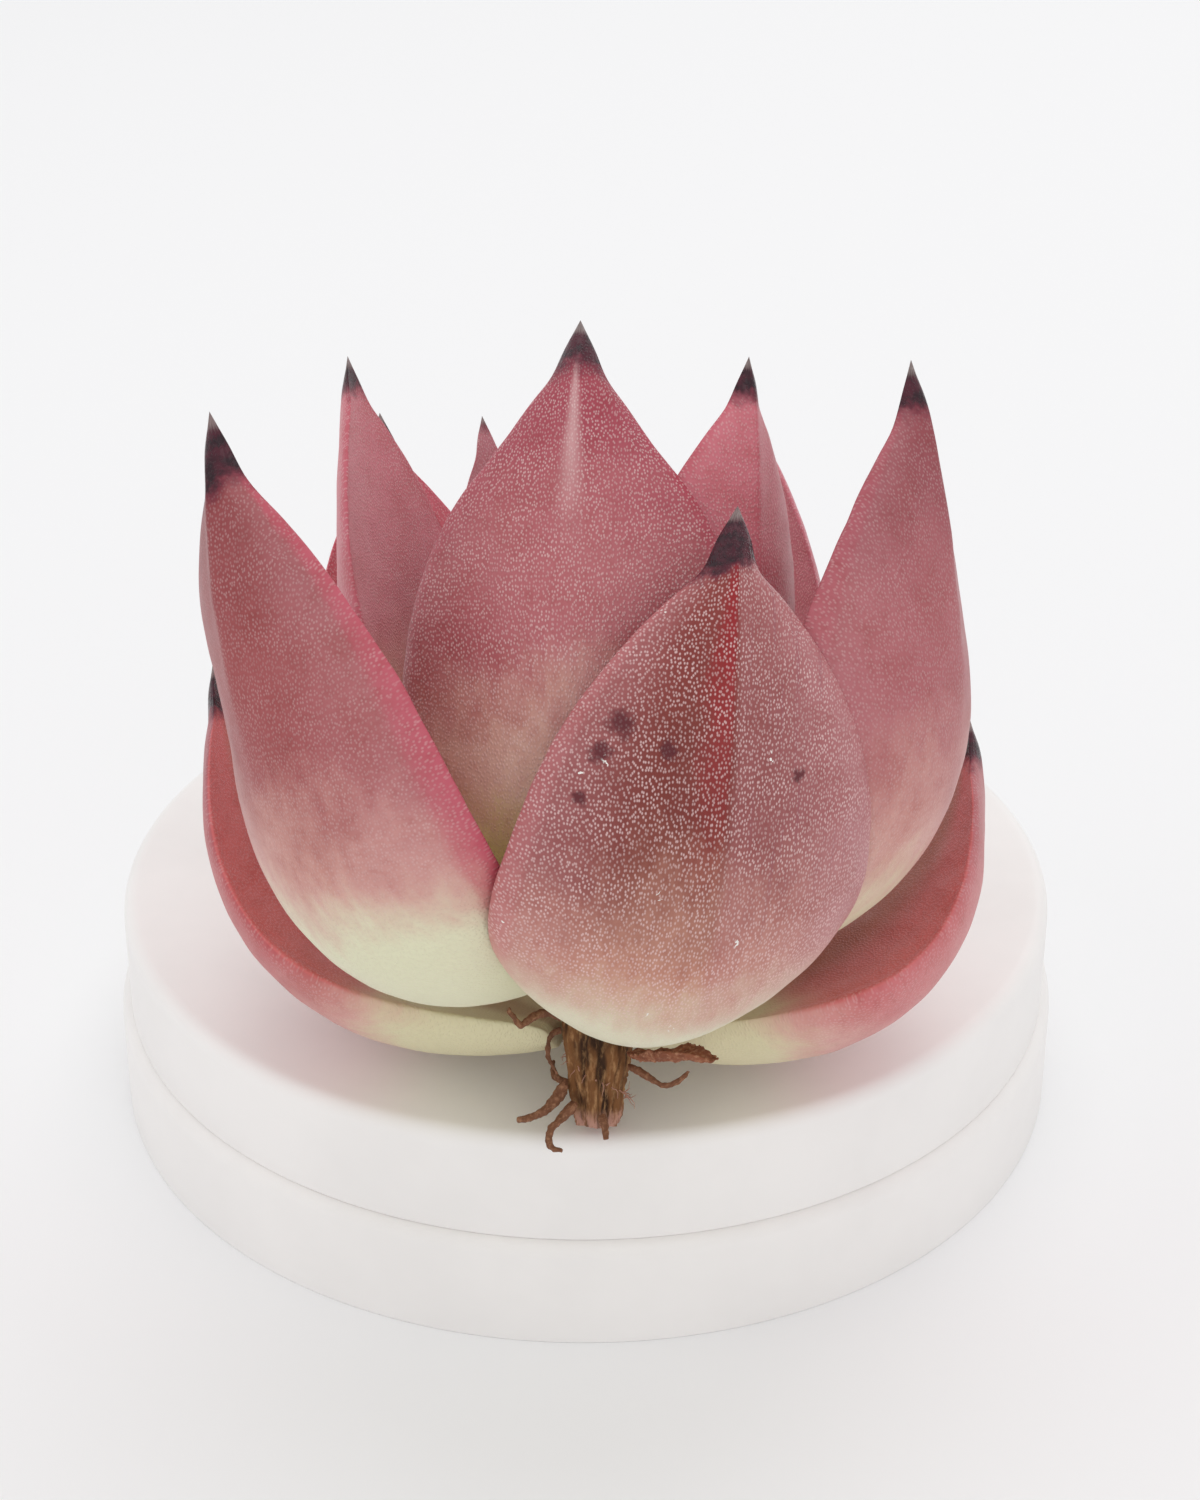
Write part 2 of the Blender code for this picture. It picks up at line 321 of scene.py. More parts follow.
# %% [markdown]
# ## Building finishes from nodes
# A finish that many pieces share is a node group, made once. These small helpers add a node,
# fill or link its sockets, and return the output, so that each recipe below reads in order.

# %% Helpers for nodes
def tone(red, green, blue):
    """A colour given as it looks on a screen, 0 to 255, made linear for the shader."""
    def straight(value):
        value /= 255
        return value / 12.92 if value <= 0.04045 else ((value + 0.055) / 1.055) ** 2.4
    return (straight(red), straight(green), straight(blue), 1.0)


def add(tree, kind, sockets=None, out=0, **settings):
    """Add a node, set its settings, fill or link its sockets, and return one output."""
    made = tree.nodes.new(kind)
    for key, value in settings.items():
        setattr(made, key, value)
    for key, value in (sockets or {}).items():
        if isinstance(value, bpy.types.NodeSocket):
            tree.links.new(value, made.inputs[key])
        else:
            made.inputs[key].default_value = value
    return made.outputs[out]


def calc(tree, operation, a, b=0.5, clamp=False):
    return add(tree, "ShaderNodeMath", {0: a, 1: b}, operation=operation, use_clamp=clamp)


def times(tree, a, b, clamp=False):
    return calc(tree, "MULTIPLY", a, b, clamp)


def plus(tree, a, b, clamp=False):
    return calc(tree, "ADD", a, b, clamp)


def scaled(tree, value, factor, offset):
    """The value times the factor, plus the offset."""
    return add(tree, "ShaderNodeMath", {0: value, 1: factor, 2: offset}, operation="MULTIPLY_ADD")


def read(tree, name, kind="value"):
    """What is stored at each vertex under a name: one value or a vector."""
    return add(tree, "ShaderNodeAttribute", out=2 if kind == "value" else 1, attribute_name=name)


def rise(tree, value, low, high):
    """0 below low, 1 above high, smooth between."""
    return add(tree, "ShaderNodeMapRange", {"Value": value, "From Min": low, "From Max": high},
               interpolation_type="SMOOTHSTEP")


def mix(tree, factor, a, b, blend_type="MIX"):
    return add(tree, "ShaderNodeMix", {0: factor, 6: a, 7: b}, 2, data_type="RGBA",
               blend_type=blend_type)


def cloud(tree, vector, scale, detail=3.0, roughness=0.55):
    return add(tree, "ShaderNodeTexNoise",
               {"Vector": vector, "Scale": scale, "Detail": detail, "Roughness": roughness})


def stretch(tree, vector, x, y, z):
    return add(tree, "ShaderNodeMapping", {"Vector": vector, "Scale": (x, y, z)})


def new_group(name, inputs, outputs):
    """An empty node group with named sockets."""
    made = bpy.data.node_groups.new(name, "ShaderNodeTree")
    kinds = {"f": "NodeSocketFloat", "c": "NodeSocketColor", "v": "NodeSocketVector"}
    for label, kind in inputs:
        made.interface.new_socket(label, in_out="INPUT", socket_type=kinds[kind])
    for label, kind in outputs:
        made.interface.new_socket(label, in_out="OUTPUT", socket_type=kinds[kind])
    start = made.nodes.new("NodeGroupInput").outputs
    end = made.nodes.new("NodeGroupOutput").inputs
    return made, start, end


def use(tree, group, sockets):
    """Place a group and return its outputs."""
    made = tree.nodes.new("ShaderNodeGroup")
    made.node_tree = group
    for key, value in sockets.items():
        if isinstance(value, bpy.types.NodeSocket):
            tree.links.new(value, made.inputs[key])
        else:
            made.inputs[key].default_value = value
    return made.outputs


# %% [markdown]
# ## Group 1: how a leaf's colour runs
# A leaf blushes in the sun. Its shaded foot stays cream to yellow-green, the blush begins in a
# soft ragged zone, and the margins are the reddest. The place along the leaf, made uneven by
# two sizes of cloud noise, drives three blends, and the place across it drives the margins.

# %% Leaf tones
CROWN_ZONE = (0.66, 0.90)  # shares of the length
MARGIN_ZONE = (0.85, 0.985)  # shares of the half-width


def make_leaf_tones():
    group, given, result = new_group("leaf_tones", [
        ("Along", "f"), ("Across", "f"), ("Grain", "v"), ("Cream", "c"), ("Blush", "c"),
        ("Rose", "c"), ("Crown", "c"), ("Margin", "c"), ("Start", "f"), ("Soft", "f"),
        ("Left margin", "f"), ("Right margin", "f")], [("Colour", "c")])
    broad = cloud(group, given["Grain"], 0.16, 2.0)
    fine = cloud(group, stretch(group, given["Grain"], 1.3, 0.5, 1.0), 1.0, 3.0)
    uneven = scaled(group, broad, 0.16, -0.08)
    finer = scaled(group, fine, 0.10, -0.05)
    outermost = calc(group, "POWER", calc(group, "ABSOLUTE", given["Across"]), 3.0)
    edge = times(group, outermost, 0.07)
    place = plus(group, plus(group, given["Along"], uneven), plus(group, finer, edge))
    soft_end = plus(group, given["Start"], given["Soft"])
    rose_start = scaled(group, given["Soft"], 0.6, given["Start"])
    rose_end = scaled(group, given["Soft"], 2.0, given["Start"])
    blushed = rise(group, place, given["Start"], soft_end)
    colour = mix(group, blushed, given["Cream"], given["Blush"])
    colour = mix(group, rise(group, place, rose_start, rose_end), colour, given["Rose"])
    colour = mix(group, rise(group, place, *CROWN_ZONE), colour, given["Crown"])
    window = rise(group, place, calc(group, "SUBTRACT", given["Start"], 0.06), soft_end)
    right = times(group, rise(group, given["Across"], *MARGIN_ZONE), given["Right margin"])
    mirrored = times(group, given["Across"], -1.0)
    left = times(group, rise(group, mirrored, *MARGIN_ZONE), given["Left margin"])
    margin = times(group, plus(group, left, right), window, clamp=True)
    colour = mix(group, margin, colour, given["Margin"])
    group.links.new(colour, result["Colour"])
    return group


leaf_tones = make_leaf_tones()
print("group leaf_tones:", len(leaf_tones.nodes), "nodes")

# %% [markdown]
# ## Group 2: pebbled skin with painted glints
# Close up, the skin is paved with domed cells, a little longer than they are wide, in loose
# rows along the leaf, and the middle of each cell carries a painted glint. Voronoi cells on a
# stretched grain give them: their middles are painted pale and stand proud, and a slow cloud
# makes the glints fade in and out.

# %% Pebbled skin
CELLS_PER_MM = (5.4, 3.7)  # across and along


def make_pebbles_and_glints():
    group, given, result = new_group(
        "pebbles_and_glints", [("Grain", "v")], [("Mask", "f"), ("Height", "f")])
    grain = stretch(group, given["Grain"], *CELLS_PER_MM, 1.0)
    cells = add(group, "ShaderNodeTexVoronoi",
                {"Vector": grain, "Scale": 1.0, "Randomness": 0.85}, voronoi_dimensions="2D")
    # pale is each cell's middle: it paints the glint and also raises the bump.
    pale = rise(group, cells, 0.42, 0.10)
    fading = rise(group, cloud(group, given["Grain"], 0.55, 2.0), 0.25, 0.75)
    glint_mask = times(group, pale, plus(group, times(group, fading, 0.6), 0.4))
    fuzz = cloud(group, given["Grain"], 7.0, 2.0)
    height = plus(group, pale, times(group, fuzz, 0.4))
    group.links.new(glint_mask, result["Mask"])
    group.links.new(height, result["Height"])
    return group


pebbles_and_glints = make_pebbles_and_glints()
print("group pebbles:", len(pebbles_and_glints.nodes), "nodes")

# %% [markdown]
# ## Group 3: inked tips
# Each tip looks as if dipped in dark ink: near-black plum, glossy, with a ragged burgundy
# border that bleeds a little way down. The mask is the place along the leaf against a start
# value, made ragged by noise; a second, lower threshold gives the bleeding border.

# %% Inked tips
def make_tip_ink():
    group, given, result = new_group("tip_ink", [
        ("Along", "f"), ("Across", "f"), ("Grain", "v"), ("Start", "f"), ("Slant", "f"),
        ("Bleed", "f")], [("Ink", "f"), ("Border", "f")])
    ragged = scaled(group, cloud(group, given["Grain"], 1.1, 3.0, 0.6), 0.05, -0.025)
    slanted = scaled(group, given["Across"], given["Slant"], given["Along"])
    place = plus(group, slanted, ragged)
    past = calc(group, "SUBTRACT", place, given["Start"])
    group.links.new(rise(group, past, -0.006, 0.012), result["Ink"])
    reach = times(group, given["Bleed"], -1.0)
    group.links.new(rise(group, past, reach, 0.004), result["Border"])
    return group


tip_ink = make_tip_ink()
print("group tip_ink:", len(tip_ink.nodes), "nodes")

# %% [markdown]
# ## Group 4: one blemish
# Handled leaves carry small dark-red spots. A spot is the distance from a place on the leaf's
# own grain, upset by noise so that its rim is uneven. One group serves every spot.

# %% A blemish
def make_blemish():
    group, given, result = new_group(
        "blemish", [("Grain", "v"), ("Place", "v"), ("Size", "f")], [("Mask", "f")])
    flat = add(group, "ShaderNodeVectorMath", {0: given["Grain"], 1: (1.0, 1.0, 0.0)},
               operation="MULTIPLY")
    away = add(group, "ShaderNodeVectorMath", {0: flat, 1: given["Place"]}, 1,
               operation="DISTANCE")
    upset = scaled(group, cloud(group, given["Grain"], 1.6, 3.0, 0.7), 1.3, -0.65)
    reach = calc(group, "DIVIDE", plus(group, away, upset), given["Size"])
    group.links.new(rise(group, reach, 1.0, 0.25), result["Mask"])
    return group


blemish = make_blemish()
print("group blemish:", len(blemish.nodes), "nodes")

# %% [markdown]
# ## Group 5: white flecks and scratches
# A few tiny white flecks and hairline scratches catch the light. Sparse Voronoi cells give the
# flecks, and noise stretched hard along the leaf gives the scratches.

# %% Flecks and scratches
def make_wear():
    group, given, result = new_group(
        "wear", [("Grain", "v")], [("Flecks", "f"), ("Scratches", "f")])
    sway = add(group, "ShaderNodeTexNoise", {"Vector": given["Grain"], "Scale": 2.0}, 1)
    bent = add(group, "ShaderNodeVectorMath", {0: given["Grain"], 1: sway}, operation="ADD")
    spread = stretch(group, bent, 0.34, 0.20, 1.0)
    near = add(group, "ShaderNodeTexVoronoi", {"Vector": spread, "Scale": 1.0})
    group.links.new(rise(group, near, 0.062, 0.045), result["Flecks"])
    lines = cloud(group, stretch(group, given["Grain"], 3.2, 0.10, 1.0), 1.0, 1.0)
    group.links.new(rise(group, lines, 0.60, 0.70), result["Scratches"])
    return group


wear = make_wear()
print("groups made:", [g.name for g in bpy.data.node_groups])

# %% [markdown]
# ## The leaf finish
# Every leaf wears the same recipe with its own values: how early it blushes, how brown or pink
# it is, how strong its margins are, where the ink starts. The recipe lays the groups over each
# other like glazes. Roughness drops on the inked tip, and the pebbles give the bump.

# %% Tones that leaves share
CREAM = tone(224, 219, 190)
OLIVE = tone(240, 230, 164)
BLUSH = tone(214, 162, 152)
ROSE = tone(192, 120, 124)
CROWN = tone(196, 124, 134)
CRIMSON = tone(190, 40, 76)
PLUM = tone(76, 20, 38)
NIGHT = tone(40, 10, 24)
BURGUNDY = tone(104, 26, 48)
HIGHLIGHT_PINK = tone(242, 208, 206)
CHALK = tone(246, 242, 236)
SPOT = tone(84, 10, 26)
HOLLOW_SHADE = tone(150, 104, 62)
CLOUDED = tone(245, 232, 230)
MOTTLED = tone(247, 238, 237)
SCAR_RED = tone(150, 20, 30)
SCRATCH = tone(150, 84, 96)
DRIED_POINT = tone(168, 150, 146)
# The side tone and its shares on the left, on the right and from the crease are painted highlights
# on the flanks.
LEAF_DEFAULTS = {
    "cream": CREAM, "blush": BLUSH, "rose": ROSE, "crown": CROWN, "margin": CRIMSON,
    "start": 0.30, "soft": 0.16, "left": 0.25, "right": 0.25, "cell_glint": 0.42, "ink": 0.905,
    "slant": 0.0, "bleed": 0.03, "streak": 0.0, "midrib": 0.0, "flecks": 0.0, "scratches": 0.0,
    "spots": (), "side": ROSE, "left_flank_highlight": 0.0, "right_flank_highlight": 0.0, "crease_highlight": 0.0, "face": ROSE,
    "face_share": 0.0,
}
print("values that each leaf may change:", len(LEAF_DEFAULTS))

# %% [markdown]
# ## Glazes over the base colour
# Each glaze takes the colour so far and returns it with one more thing laid over it: the inner
# face with painted shade in its hollow, painted highlights on the two flanks and on the keel,
# the red streak, the wear. A glaze whose strength is 0 is left out of that leaf. They read a
# leaf's own directions from `on`, the values stored at each vertex.

# %% Glazes of the base colour
def face_and_hollow_shade_glaze(tree, on, v, colour):
    """The hollow inner face in its own tone, with painted shade on the deep fold in its middle."""
    turned_in = rise(tree, read(tree, "facing"), 0.2, -0.5)
    inner = times(tree, times(tree, turned_in, v["face_share"]), on["blushed"])
    colour = mix(tree, inner, colour, v["face"])
    # Painted shade: the middle of the hollow inner face darkens to olive-brown.
    hollow_shade = rise(tree, calc(tree, "ABSOLUTE", on["across"]), 0.62, 0.20)
    return mix(tree, times(tree, times(tree, turned_in, hollow_shade), 0.55), colour, HOLLOW_SHADE)


def flank_highlight_glaze(tree, on, v, colour):
    """A painted highlight on the left and right of the back, and from the keel's crease
    rightwards.
    """
    flank_highlights = times(tree, rise(tree, on["across"], 0.25, 0.90), v["right_flank_highlight"])
    crease_highlight = times(tree, rise(tree, on["across"], -0.02, 0.08), v["crease_highlight"])
    left = times(tree, rise(tree, on["across"], -0.35, -0.95), v["left_flank_highlight"])
    flank_highlights = plus(tree, plus(tree, flank_highlights, crease_highlight), left)
    # The side tone is laid on as a painted highlight.
    return mix(tree, times(tree, flank_highlights, on["blushed"]), colour, v["side"])


def cloud_glaze(tree, on, colour):
    """Faint clouds in two sizes, where the leaf has blushed."""
    clouds = rise(tree, cloud(tree, on["grain"], 0.35, 4.0, 0.6), 0.42, 0.72)
    colour = mix(tree, times(tree, clouds, on["blushed"]), colour, CLOUDED, "MULTIPLY")
    mottle = rise(tree, cloud(tree, on["grain"], 1.7, 3.0, 0.65), 0.48, 0.70)
    return mix(tree, times(tree, mottle, on["blushed"]), colour, MOTTLED, "MULTIPLY")


def midrib_glaze(tree, on, v, colour):
    """A painted highlight: a pale line up the middle of the upper part."""
    # Painted highlight along the keel.
    line = rise(tree, calc(tree, "ABSOLUTE", on["across"]), 0.16, 0.0)
    line = times(tree, line, rise(tree, on["along"], 0.66, 0.84))
    return mix(tree, times(tree, line, v["midrib"]), colour, HIGHLIGHT_PINK)


def streak_glaze(tree, on, v, colour):
    """A ragged red streak just left of the keel."""
    drawn_out = stretch(tree, on["grain"], 1.4, 0.4, 1.0)
    ragged = scaled(tree, cloud(tree, drawn_out, 1.0, 4.0, 0.65), 0.34, -0.17)
    uneven = rise(tree, plus(tree, on["across"], ragged), -0.26, -0.04)
    line = times(tree, uneven, rise(tree, on["across"], 0.03, -0.02))
    line = times(tree, line, rise(tree, on["along"], 0.44, 0.82))
    return mix(tree, times(tree, line, v["streak"]), colour, SCAR_RED)


def wear_glaze(tree, on, v, colour):
    """White flecks all over, and hairline scratches on the right of the upper part."""
    marks = use(tree, wear, {"Grain": on["grain"]})
    colour = mix(tree, times(tree, marks["Flecks"], v["flecks"]), colour, CHALK)
    zone = times(tree, rise(tree, on["across"], 0.05, 0.25), rise(tree, on["along"], 0.42, 0.6))
    lines = times(tree, times(tree, marks["Scratches"], zone), v["scratches"])
    return mix(tree, lines, colour, SCRATCH)


# %% [markdown]
# ## The whole recipe
# The glazes go on in order, as in painting: base, clouds, lines with the painted keel highlight,
# the painted glints of the cells, wear, spots and last the ink, so that nothing shows through the
# dark tip.

# %% The leaf recipe
def leaf_colour(tree, on, v, pebble_and_glint, ink):
    """All the layers of a leaf's colour, from the base to the dried point."""
    colour = use(tree, leaf_tones, {
        "Along": on["along"], "Across": on["across"], "Grain": on["grain"], "Cream": v["cream"],
        "Blush": v["blush"], "Rose": v["rose"], "Crown": v["crown"], "Margin": v["margin"],
        "Start": v["start"], "Soft": v["soft"], "Left margin": v["left"],
        "Right margin": v["right"]})["Colour"]
    if v["face_share"]:
        colour = face_and_hollow_shade_glaze(tree, on, v, colour)
    if v["left_flank_highlight"] or v["right_flank_highlight"]:
        colour = flank_highlight_glaze(tree, on, v, colour)
    colour = cloud_glaze(tree, on, colour)
    if v["midrib"]:
        colour = midrib_glaze(tree, on, v, colour)
    if v["streak"]:
        colour = streak_glaze(tree, on, v, colour)
    # Painted glints: the middle of each skin cell is painted pale pink, as if it caught the light.
    strength = times(tree, plus(tree, on["blushed"], 0.25, clamp=True), v["cell_glint"])
    colour = mix(tree, times(tree, pebble_and_glint["Mask"], strength), colour, HIGHLIGHT_PINK)
    if v["flecks"] or v["scratches"]:
        colour = wear_glaze(tree, on, v, colour)
    for place_x, place_y, size in v["spots"]:
        spot = use(tree, blemish, {
            "Grain": on["grain"], "Place": (place_x, place_y, 0.0), "Size": size})["Mask"]
        colour = mix(tree, times(tree, spot, 0.85), colour, SPOT)
    colour = mix(tree, times(tree, ink["Border"], 0.88), colour, BURGUNDY)
    night = rise(tree, cloud(tree, on["grain"], 0.9, 3.0, 0.6), 0.38, 0.62)
    colour = mix(tree, ink["Ink"], colour, mix(tree, night, PLUM, NIGHT))
    point = rise(tree, on["along"], 0.982, 0.995)
    return mix(tree, times(tree, point, 0.6), colour, DRIED_POINT)


def leaf_finish(name, values):
    v = {**LEAF_DEFAULTS, **values}
    skin = bpy.data.materials.new(name)
    skin.use_nodes = True
    tree = skin.node_tree
    shader = tree.nodes["Principled BSDF"]
    on = {"along": read(tree, "along"), "across": read(tree, "across"),
          "grain": read(tree, "grain", "vector")}
    on["blushed"] = rise(tree, on["along"], v["start"], v["start"] + v["soft"])
    pebble_and_glint = use(tree, pebbles_and_glints, {"Grain": on["grain"]})
    ink = use(tree, tip_ink, {"Along": on["along"], "Across": on["across"], "Grain": on["grain"],
                              "Start": v["ink"], "Slant": v["slant"], "Bleed": v["bleed"]})
    tree.links.new(leaf_colour(tree, on, v, pebble_and_glint, ink), shader.inputs["Base Color"])
    dull = scaled(tree, cloud(tree, on["grain"], 0.8, 3.0), 0.16, 0.34)
    rough = add(tree, "ShaderNodeMix", {0: ink["Ink"], 2: dull, 3: 0.26})
    tree.links.new(rough, shader.inputs["Roughness"])
    relief = add(tree, "ShaderNodeBump", {"Strength": 0.55, "Distance": 0.05 * MM,
                                          "Height": pebble_and_glint["Height"]})
    tree.links.new(relief, shader.inputs["Normal"])
    shader.inputs["Specular IOR Level"].default_value = 0.38
    shader.inputs["Sheen Weight"].default_value = 0.05
    shader.inputs["Sheen Roughness"].default_value = 0.35
    shader.inputs["Sheen Tint"].default_value = (1.0, 0.86, 0.86, 1.0)
    return skin


# %% [markdown]
# ## Each leaf's own character
# The front leaf is the brownest and has the most painted cell glints, with spots and a red streak
# beside its keel.
# The left leaf has a crimson right margin. The two lowest leaves are the reddest. The inner
# leaves are pinker with small tips. Values are the only thing that differs between them. Each
# spot is a place across and along the leaf and a size, all in millimetres.

# %% Values of the four large leaves
# The side tone and its shares on the left, on the right and from the crease are painted highlights
# on the flanks.
LEAVES = {
    "leaf_front": dict(
        blush=tone(206, 152, 132), rose=tone(122, 46, 38), crown=tone(138, 56, 52),
        margin=tone(206, 112, 116), side=tone(190, 124, 128), left_flank_highlight=0.50, right_flank_highlight=0.45,
        crease_highlight=0.38, start=0.26, soft=0.18, left=0.6, right=0.35, cell_glint=0.70, ink=0.918,
        slant=-0.012, bleed=0.018, streak=0.9, flecks=1.0, scratches=0.35,
        spots=((-5.9, 31.6, 1.1), (-6.9, 30.0, 0.8), (-3.4, 30.2, 0.7), (-7.9, 27.4, 0.6),
               (4.4, 28.6, 0.55), (-1.2, 42.5, 0.5))),
    "leaf_centre_front": dict(
        cream=OLIVE, blush=tone(240, 204, 184), rose=tone(184, 104, 110),
        crown=tone(168, 68, 84), start=0.24, soft=0.17, cell_glint=0.56, ink=0.938, midrib=0.42,
        left=0.3, right=0.3, bleed=0.035),
    "leaf_left": dict(
        cream=tone(226, 224, 192), rose=tone(162, 80, 82), crown=tone(148, 68, 72),
        side=tone(206, 140, 146), left_flank_highlight=0.2, right_flank_highlight=0.35, start=0.325, soft=0.15,
        left=0.1, right=1.0, ink=0.905, slant=-0.03, bleed=0.03, cell_glint=0.26),
    "leaf_right": dict(
        cream=tone(222, 214, 180), rose=tone(178, 102, 108), crown=tone(154, 78, 86),
        side=tone(204, 142, 148), left_flank_highlight=0.2, right_flank_highlight=0.4, start=0.26, soft=0.18,
        left=0.35, right=0.2, ink=0.935, bleed=0.02, cell_glint=0.24),
}

# %% Values of the lower, back and inner leaves
LEAVES.update({
    "leaf_lower_left": dict(
        cream=tone(218, 210, 172), rose=tone(190, 92, 94), crown=tone(176, 104, 110),
        face=tone(216, 112, 112), face_share=0.85, start=0.22, soft=0.14, left=0.1, right=0.1,
        ink=0.92, cell_glint=0.24),
    "leaf_lower_right": dict(
        cream=tone(216, 206, 168), rose=tone(206, 118, 120), crown=tone(186, 108, 112),
        face=tone(212, 112, 112), face_share=0.85, start=0.20, soft=0.14, left=0.1, right=0.1,
        ink=0.93, cell_glint=0.24),
    "leaf_back": dict(start=0.24),
    "leaf_back_left": dict(
        start=0.28, rose=tone(216, 116, 128), crown=tone(214, 112, 126), ink=0.965, bleed=0.06),
    "leaf_back_right": dict(
        start=0.28, rose=tone(220, 136, 148), crown=tone(216, 132, 144), ink=0.98, bleed=0.05),
    "leaf_inner_left": dict(
        start=0.30, rose=tone(206, 116, 128), crown=tone(208, 118, 130), ink=0.95),
    "leaf_inner_right": dict(
        start=0.30, rose=tone(208, 116, 128), crown=tone(208, 116, 128), ink=0.94),
    "leaf_inner_back": dict(start=0.32, ink=0.99, bleed=0.03),
    "leaf_heart_outer": dict(start=0.34, ink=0.95),
    "leaf_heart_inner": dict(start=0.36, ink=0.95),
})
SHAPING = {
    "leaf_front": dict(pinch=0.26, plump=0.3),
    "leaf_left": dict(pinch=0.22, plump=1.3, plump_at=0.30, trim_left=1.7, trim_at=0.58),
    "leaf_right": dict(plump=2.3, plump_at=0.46),
    "leaf_centre_front": dict(slim=0.08, plump=0.4),
    "leaf_lower_left": dict(plump=0.0, fill=1.5),
    "leaf_lower_right": dict(plump=0.0, fill=2.0),
}
print("leaves with values:", len(LEAVES), "with a shape of their own:", len(SHAPING))

# %% [markdown]
# ## Making the leaves
# One loop now does for every leaf what was explained above: smooth, sculpt, paint. The number
# of the leaf shifts the noise, so that no two leaves carry the same dents or clouds.

# %% Make the leaves
for number, (node, values) in enumerate(LEAVES.items()):
    piece, shape = smooth_leaf(node)
    sculpt_leaf(piece, shape, number + 1.0, **SHAPING.get(node, {}))
    finished(piece, node, leaf_finish(node + "_finish", values))
    length = round(shape.lengths[-1] / MM, 1)
    print(node, "faces:", len(piece.data.polygons), "length mm:", length)

# %% [markdown]
# ## Bark: the stem
# The bare stem is a peg of dry fibres that splay where it was pulled from the soil. A voxel
# remesh turns the CAD peg into a dense even skin. Its vertices are then moved in and out by
# noise that is stretched along the peg, which makes long cords of fibre, deepest at the foot.
# Painting them with a brush could do it too, but noise can be made again with other values.
# Nothing goes below the surface that the stem stands on.

# %% A dense skin for dry pieces
def dense_copy(node, size):
    piece = merged_copy(node, node + "_skin")
    wrap = piece.modifiers.new("wrap", "REMESH")
    wrap.mode = "VOXEL"
    wrap.voxel_size = size
    wrap.use_smooth_shade = True
    bpy.ops.object.modifier_apply(modifier="wrap")
    ease = piece.modifiers.new("ease", "SMOOTH")
    ease.factor = 0.5
    ease.iterations = 2
    bpy.ops.object.modifier_apply(modifier="ease")
    return piece


def main_axis(rows):
    """The line that a long piece follows: its middle and its direction, pointing up."""
    middle = rows.mean(0)
    _, _, axes = np.linalg.svd(rows - middle, full_matrices=False)
    return middle, axes[0] if axes[0][2] > 0 else -axes[0]


# %% Measure the stem
stem = dense_copy("stem", 0.16 * MM)
rows = places(stem.data)
middle, axis = main_axis(rows)
foot_point = middle + axis * ((rows - middle) @ axis).min()
height = (rows - foot_point) @ axis
radial = rows - foot_point - np.outer(height, axis)
reach = np.linalg.norm(radial, axis=1)
outward = radial / np.maximum(reach, 0.05 * MM)[:, None]
first = np.cross(axis, (1.0, 0.0, 0.0))
first /= np.linalg.norm(first)
second = np.cross(axis, first)
turn = np.arctan2(radial @ second, radial @ first)
print("stem height mm:", round(height.max() / MM, 1), "reach mm:", round(reach.max() / MM, 1))

# %% Carve the stem
FIBRE_DEPTH = 0.34 * MM
STEM_THINNING = 0.25 * MM  # near the foot


def cord_noise(angle, level, turns, step, shift=0.0):
    """Noise in cords along the stem: more turns and a smaller step make them finer."""
    return noise.noise(Vector((math.cos(angle) * turns, math.sin(angle) * turns,
                               level / step + shift)))


wander = np.array([noise.noise(Vector((0.0, 0.0, h / (2.5 * MM)))) for h in height])
cords = np.array([
    cord_noise(a, h, 3.2, 4 * MM) + 0.55 * cord_noise(a, h, 8, 1.6 * MM, 9)
    + 0.25 * cord_noise(a, h, 16, 0.8 * MM, 21)
    for a, h in zip(turn + 0.5 * wander, height)
])
torn_foot = 1 - step_up(0.0, 1.6 * MM, height)
splay = FIBRE_DEPTH * cords * (1 + 0.5 * torn_foot)
splay -= STEM_THINNING * (1 - step_up(1.5 * MM, 5 * MM, height))
rows += outward * (splay * step_up(0.2 * MM, 0.9 * MM, reach))[:, None]
rows[:, 2] = np.maximum(rows[:, 2], SURFACE + 0.03 * MM)
put_places(stem.data, rows)
put_attribute(stem.data, "cords", "FLOAT", cords)
put_attribute(stem.data, "grain", "FLOAT_VECTOR",
              np.stack([turn * 2.2, height / MM, reach / MM], 1))
print("stem faces:", len(stem.data.polygons))

# %% [markdown]
# ## Loose fibres
# Torn bark frays. Short hair-thin fibres stand off the stem, each a curve of a few points with
# a round bevel, turned by the golden angle so that none line up. Curves suit hairs, because
# one thickness value makes them all. They are made mesh and joined to the stem.

# %% Fray the stem
FIBRES = 30
FIBRE_RADIUS = 0.055 * MM
FIBRE_STEPS = 5
FIBRE_SWAY = 0.35 * MM
GOLDEN_ANGLE = math.pi * (3 - math.sqrt(5))


def scatter(i, step, low, span):
    """Values from low up to low plus span, spread evenly as i counts up."""
    return low + span * (i * step % 1)


def add_strand(strands, i):
    """One fibre: it starts inside the bark, leans up or down and thins to its end."""
    way = math.cos(i * GOLDEN_ANGLE) * first + math.sin(i * GOLDEN_ANGLE) * second
    level = scatter(i, 0.618, 0.4, 6.0) * MM
    length = scatter(i, 0.377, 0.6, 1.1) * MM
    lean = scatter(i, 0.271, -0.9, 1.6)
    bark_reach = 1.75 * MM + 0.055 * level
    line = strands.splines.new("POLY")
    line.points.add(FIBRE_STEPS)
    for k, point in enumerate(line.points):
        share = k / FIBRE_STEPS
        place = foot_point + axis * (level + lean * length * share**2)
        place = place + way * (bark_reach + 0.55 * length * share)
        sway = noise.noise_vector(Vector((i * 3.3, share * 2.0, 1.0)))
        place = place + np.array(sway) * FIBRE_SWAY * share
        place[2] = max(place[2], SURFACE + 2 * FIBRE_RADIUS)
        point.co = (*place, 1.0)
        point.radius = 1 - 0.75 * share


